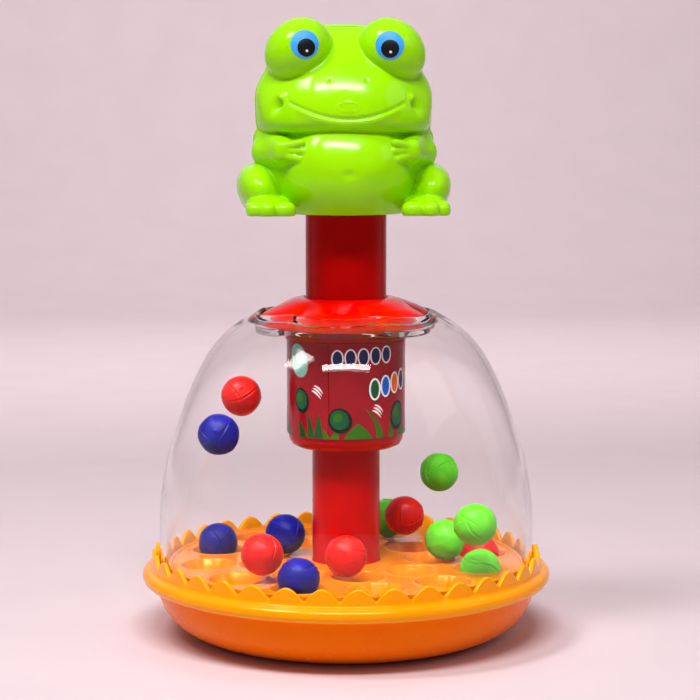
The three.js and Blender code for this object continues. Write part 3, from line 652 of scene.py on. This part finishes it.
def frog_mass(x, y, z):
    """The frog's body, head and limbs, before its face is drawn."""
    p = (np.abs(x), y, z)
    jaw = ball_like(p, (0, 1.5, 217), (35.8, 30.6, 16.6), 3.4, 2.4)
    crown = ball_like(p, (0, 1.5, 231), (30.5, 26.5, 20.9), 3, 2.4)
    head = join(jaw, crown, 6)
    side = 0.5 * (p[0] - 14.6 + np.sqrt((p[0] - 14.6) ** 2 + 1.5))
    nose = np.sqrt(x ** 2 + 30 * side + (y - 40.0) ** 2 + (z - 187.5) ** 2) - 75
    head = carve(head, -nose, 4)
    under = 0.5 * (211.4 - z + np.sqrt((211.4 - z) ** 2 + 5.0))
    head = head + 0.42 * under * np.clip(-y / 26, 0, 1)
    head = carve(head, z - 207.4, 1.2)
    c, s = math.cos(0.72), math.sin(0.72)
    dx, dz = p[0] - 18.9, z - 240.4
    eye = ball_like((dx * c - dz * s, y + 7.4, dx * s + dz * c), (0, 0, 0), (14.5, 14.6, 12.7))
    head = join(head, eye, 0.8)
    body = join(ball_like(p, (0, 3, 198), (34.8, 25, 18), 3, 2.3),
                ball_like(p, (0, 3, 184), (33, 25, 14), 2.2), 4)
    body = join(body, ball_like(p, (0, -1.5, 191.5), (29.5, 31.0, 26.0), 2.15), 1.6)
    chest = np.sqrt((0.87 * x + 4.3) ** 2 + (y - 37.6) ** 2 + (z - 162.7) ** 2) - 78
    body = carve(body, -chest, 2.5)
    elbow = (31.0, -3, 199.6)
    arm = join(limb(p, (32.0, 3, 204.0), elbow, 4.9, 6.4),
               limb(p, elbow, (25.0, -15.6, 199.8), 6.4, 5.9), 2.5)
    arm = join(arm, limb(p, (33.5, 2, 207.0), (27.5, -14, 203.6), 2.2, 2.8), 3)
    arm = join(arm, ball_like(p, (25.6, -18.6, 200.3), (4.4, 5.2, 5.0), 2.5), 2.0)
    for tip, fz in ((18.9, 203.5), (18.3, 200.3), (19.5, 197.1)):
        arm = join(arm, limb(p, (26.4, -20.4, 0.4 * fz + 120.2), (tip, -24.2, fz), 2.4, 1.7), 0.4)
    body = join(body, arm, 0.9)
    c, s = math.cos(0.42), math.sin(0.42)
    dx, dz = p[0] - 34.5, z - 183.8
    thigh = (dx * c - dz * s, y + 0.5, dx * s + dz * c)
    body = join(body, ball_like(thigh, (0, 0, 0), (8.7, 21, 11.4), 2.1), 0.9)
    foot = ball_like(p, (31.8, -16.5, 177.6), (8.9, 14, 4.8), 2.5)
    for tx, ty, w in ((37.6, -26.4, 3.3), (32.4, -29.2, 3.9), (25.6, -28.4, 4.6)):
        foot = join(foot, ball_like(p, (tx, ty, 177.0), (w, 5.6, 3.7), 2.3), 0.8)
    body = join(body, foot, 0.9)
    return join(head, body, 0.7)


def front_y(xs, zs):
    """Where a ray from the front first meets the frog."""
    xs, zs = np.atleast_1d(xs).astype(float), np.atleast_1d(zs).astype(float)
    ys = np.arange(-42, 6, 0.2)
    d = frog_mass(xs[:, None] + 0 * ys, ys + 0 * xs[:, None], zs[:, None] + 0 * ys)
    k = np.argmax(d < 0, 1)
    i = np.arange(len(xs))
    d0, d1 = d[i, k - 1], d[i, k]
    return ys[k - 1] + 0.2 * d0 / (d0 - d1)


def line_on_face(xs, zs, lift=0.0):
    """Points on the face, lifted off it towards the front."""
    return np.stack([xs, front_y(xs, zs) - lift, zs], -1)


s = np.linspace(-22.6, 22.6, 110)
smile = line_on_face(s, 213.0 + 6.4 * (s / 22.6) ** 2)
lip = line_on_face(s * 0.84, 210.9 + 5.4 * (s / 22.6) ** 2, -1.0)
corner = line_on_face(np.full(20, 23.8), np.linspace(218.6, 223.6, 20))
t = np.linspace(0, 2 * math.pi, 90)
oval = line_on_face(4.4 * np.cos(t), 217.6 + 1.9 * np.sin(t), -0.2)
NOSTRIL = (7.3, float(front_y(7.3, 228.4)[0]), 228.4)
NAVEL = (0.0, float(front_y(0, 191)[0]), 191.0)
CHEEK = (26.4, float(front_y(26.4, 221.0)[0]), 221.0)
DIMPLE = (29.2, float(front_y(29.2, 218.8)[0]), 218.8)


def near_line(x, y, z, line):
    """Distance to a line of points, or 9 where it is too far off to matter."""
    d = np.full(x.shape, 9.0)
    lo, hi = line.min(0) - 5, line.max(0) + 5
    m = (x > lo[0]) & (x < hi[0]) & (y > lo[1]) & (y < hi[1]) & (z > lo[2]) & (z < hi[2])
    p = np.stack([x[m], y[m], z[m]], -1)
    best = np.full(len(p), 81.0)
    for q in line:
        best = np.minimum(best, ((p - q) ** 2).sum(1))
    d[m] = np.sqrt(best)
    return d


def frog(x, y, z):
    """The whole frog with mouth, nostrils, cheeks and navel, cut flat at the feet."""
    d = frog_mass(x, y, z)
    p = (np.abs(x), y, z)
    d = join(d, near_line(x, y, z, lip) - 0.3, 2.4)
    d = carve(d, near_line(x, y, z, smile) - 0.35, 1.1)
    d = carve(d, near_line(p[0], y, z, corner) + 0.25, 0.8)
    d = join(d, near_line(x, y, z, oval) - 0.12, 0.6)
    d = carve(d, ball_like(p, NOSTRIL, (0.6, 0.35, 1.3)), 0.6)
    d = carve(d, ball_like(p, (NAVEL[0], NAVEL[1] - 0.4, NAVEL[2]), (2.0, 0.75, 1.2)), 1.2)
    d = join(d, ball_like(p, (CHEEK[0], CHEEK[1] + 0.4, CHEEK[2]), (1.7, 1.3, 1.7)), 1.6)
    d = carve(d, ball_like(p, (DIMPLE[0], DIMPLE[1] - 0.9, DIMPLE[2]), (3.8, 1.5, 2.6)), 1.8)
    return np.maximum(d, FEET_Z - z)


def shells(x, y, z):
    """The front and back shells: hollow, with two screw posts, their bores and a round socket below."""
    d = frog(x, y, z)
    axis_r = np.minimum(*(np.hypot(x, z - h) for h in SCREW_Z))
    room = np.maximum(d + SKIN, -(axis_r - np.where(y > SPLIT, 4.8, 4.0)))
    bores = np.where(y > 20, axis_r - 3.5, np.where(y > -4, axis_r - 1.7, 9))
    holes = np.minimum(np.maximum(np.hypot(x, y) - 22.4, z - 187), bores)
    hollow = np.maximum(-room, -holes)
    front = np.maximum(np.maximum(hollow, d), y - (SPLIT - HALF_GAP))
    back = np.maximum(np.maximum(hollow, d - BACK_PROUD), SPLIT + HALF_GAP - y)
    return front, back


def skin_of(field, corner, step):
    """Surface nets: one vertex in each cell the surface crosses, one quad for each crossed edge."""
    n = np.array(field.shape)
    inside = field < 0
    count = sum(inside[a:n[0] - 1 + a, b:n[1] - 1 + b, c:n[2] - 1 + c].astype(np.int8)
                for a in (0, 1) for b in (0, 1) for c in (0, 1))
    active = (count > 0) & (count < 8)
    cells = np.argwhere(active)
    number = np.full(active.shape, -1)
    number[active] = np.arange(len(cells))
    total, hits = np.zeros((len(cells), 3)), np.zeros(len(cells))
    offs = [np.array((a, b, c)) for a in (0, 1) for b in (0, 1) for c in (0, 1)]
    for a in offs:
        for b in offs:
            if (b - a).sum() != 1 or np.abs(b - a).sum() != 1:
                continue
            fa, fb = field[tuple((cells + a).T)], field[tuple((cells + b).T)]
            m = (fa < 0) != (fb < 0)
            t = np.where(m, fa / np.where(m, fa - fb, 1), 0)[:, None]
            total += np.where(m[:, None], a + t * (b - a), 0)
            hits += m
    verts = corner + (cells + total / hits[:, None]) * step
    faces = []
    for ax in range(3):
        u, w = (ax + 1) % 3, (ax + 2) % 3
        sl0, sl1 = [slice(None)] * 3, [slice(None)] * 3
        sl0[ax], sl1[ax] = slice(0, -1), slice(1, None)
        cross = inside[tuple(sl0)] != inside[tuple(sl1)]
        e = np.argwhere(cross)
        e = e[(e[:, u] > 0) & (e[:, w] > 0) & (e[:, u] < n[u] - 1) & (e[:, w] < n[w] - 1)]
        du, dw = np.eye(3, dtype=int)[u], np.eye(3, dtype=int)[w]
        q = np.stack([number[tuple((e - o).T)] for o in (du + dw, dw, 0 * du, du)], -1)
        flip = ~inside[tuple(e.T)]
        q[flip] = q[flip][:, ::-1]
        faces.append(q)
    return verts, np.concatenate(faces)


STEP = 0.7
FROG_LOW = np.array([-46.0, -37.0, 173.4])
CELLS = (132, 101, 119)
both = shells(*np.meshgrid(*(FROG_LOW[i] + STEP * np.arange(CELLS[i]) for i in range(3)), indexing="ij"))
for which, (name, node) in enumerate((("frog_face_shell", "frog_front"), ("frog_back_shell", "frog_back"))):
    v, f = skin_of(both[which], FROG_LOW, STEP)

    def value(q):
        return shells(q[:, 0], q[:, 1], q[:, 2])[which]

    def slope(q, e=0.06):
        steps = e * np.eye(3)
        return np.stack([value(q + d) - value(q - d) for d in steps], -1) / (2 * e)

    for _ in range(2):
        grad = slope(v)
        size = np.maximum((grad ** 2).sum(1), 0.15)
        v = v - np.clip(value(v) / size, -0.3, 0.3)[:, None] * grad
    grad = slope(v)
    grad /= np.maximum(np.linalg.norm(grad, axis=1, keepdims=True), 1e-6)
    v[:, 0] += FROG_X
    piece(name, v, f, "plunger", FROG, [node], normals=grad)


IRIS_R, PUPIL_R, GLINT_R = 5.7, 3.6, 0.55
IRIS_C = {"left": (-17.9, 242.6), "right": (16.1, 242.3)}
PUPIL_SHIFT = {"left": (0.6, -1.3), "right": (0.0, -1.4)}
IRIS_PAINT = printed("iris_paint", srgb(60, 160, 245), 0.45)
PUPIL_PAINT = printed("pupil_paint", srgb(3, 3, 3), 0.5)
GLINT_PAINT = printed("glint_paint", srgb(235, 235, 235), 0.3)


def eye_disc(cx, cz, radius, lift):
    """A disc of paint that lies on the eye bulge."""
    rings = np.linspace(0.05, radius, 7)
    a = np.linspace(0, 2 * math.pi, 49)[:-1]
    v = []
    for r in rings:
        px, pz = cx - FROG_X + r * np.cos(a), cz + r * np.sin(a)
        py = front_y(px, pz) - lift * (1 if r < radius - 0.01 else 0.7)
        v += list(zip(px + FROG_X, py, pz))
    f = [(i * 48 + j, i * 48 + (j + 1) % 48, (i + 1) * 48 + (j + 1) % 48, (i + 1) * 48 + j)
         for i in range(6) for j in range(48)]
    return v, f


for side in ("left", "right"):
    cx, cz = IRIS_C[side]
    v, f = eye_disc(cx, cz, IRIS_R, 0.16)
    piece("eye_iris_" + side, v, f, "plunger", IRIS_PAINT, ["iris_" + side])
    px, pz = cx + PUPIL_SHIFT[side][0], cz + PUPIL_SHIFT[side][1]
    v, f = eye_disc(px, pz, PUPIL_R, 0.26)
    v2, f2 = eye_disc(px + 0.2, pz - 1.3, GLINT_R, 0.34)
    glint = [tuple(i + len(v) for i in q) for q in f2]
    piece("eye_pupil_" + side, v + v2, f + glint, "plunger", [PUPIL_PAINT, GLINT_PAINT],
          ["pupil_" + side], index=[0] * len(f) + [1] * len(glint))

# ---- CAD nodes that keep their own shape ------------------------------------------------
KEPT = {"drive_nut": NYLON, "thrust_washer": NYLON, "frog_seat": FROG}
for name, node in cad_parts.items():
    if node.hide_render:
        continue
    node.data.materials.clear()
    node.data.materials.append(KEPT.get(name, STEEL))

# ---- floor, backdrop and light ----------------------------------------------------------
floor_mat = plastic("studio_paper", srgb(219, 201, 206), srgb(216, 198, 203), 0.75, 0.05, 20, 0.02, 300)
BEND = 0.7  # metres, where the floor turns up into the backdrop
prof = [(-3.0, 0.0), (1.4, 0.0)]
prof += [(1.4 + BEND * math.sin(q), BEND - BEND * math.cos(q)) for q in np.linspace(0.1, math.pi / 2, 14)]
prof += [(1.4 + BEND, 3.0)]
mesh = bpy.data.meshes.new("studio_sweep")
mesh.from_pydata([(sx * 4.0, py, pz) for py, pz in prof for sx in (-1, 1)], [],
                 [(2 * i, 2 * i + 1, 2 * i + 3, 2 * i + 2) for i in range(len(prof) - 1)])
mesh.polygons.foreach_set("use_smooth", [True] * len(mesh.polygons))
sweep = bpy.data.objects.new("studio_sweep", mesh)
mesh.materials.append(floor_mat)
bpy.context.scene.collection.objects.link(sweep)


def softbox(name, azimuth, elevation, distance, width, height, watts, target=None):
    """An area light aimed at the toy; azimuth 0 is the camera's side, positive to the camera's right."""
    data = bpy.data.lights.new(name, "AREA")
    data.shape, data.size, data.size_y, data.energy = "RECTANGLE", width, height, watts
    light = bpy.data.objects.new(name, data)
    bpy.context.scene.collection.objects.link(light)
    a, e = math.radians(azimuth) + VIEW_TURN, math.radians(elevation)
    middle = Vector((0, 0, 0.13))
    way = Vector((math.sin(a) * math.cos(e), -math.cos(a) * math.cos(e), math.sin(e)))
    light.location = middle + way * distance
    aim = (Vector(target) if target else middle) - light.location
    light.rotation_euler = aim.to_track_quat("-Z", "Y").to_euler()


softbox("key_front", 0, 60, 1.5, 0.8, 0.17, 19)
softbox("key_left", -61, 58, 1.5, 0.3, 0.42, 11)
softbox("fill_right", 75, 35, 1.9, 0.9, 0.9, 3)
softbox("backdrop_wash", 180, 50, 1.0, 1.6, 0.5, 13, target=(0, 1.9, 0.6))
world = bpy.data.worlds.new("studio")
bpy.context.scene.world = world
world.use_nodes = True
air = world.node_tree
coord = air.nodes.new("ShaderNodeTexCoord")
split = air.nodes.new("ShaderNodeSeparateXYZ")
air.links.new(coord.outputs["Generated"], split.inputs[0])
air.nodes["Background"].inputs["Color"].default_value = (1.0, 0.94, 0.96, 1)
glow = spread(air, split.outputs["Y"], 0.16, 0.55, (-0.2, 0.7))  # dim on the camera's side, brighter behind
air.links.new(glow, air.nodes["Background"].inputs["Strength"])
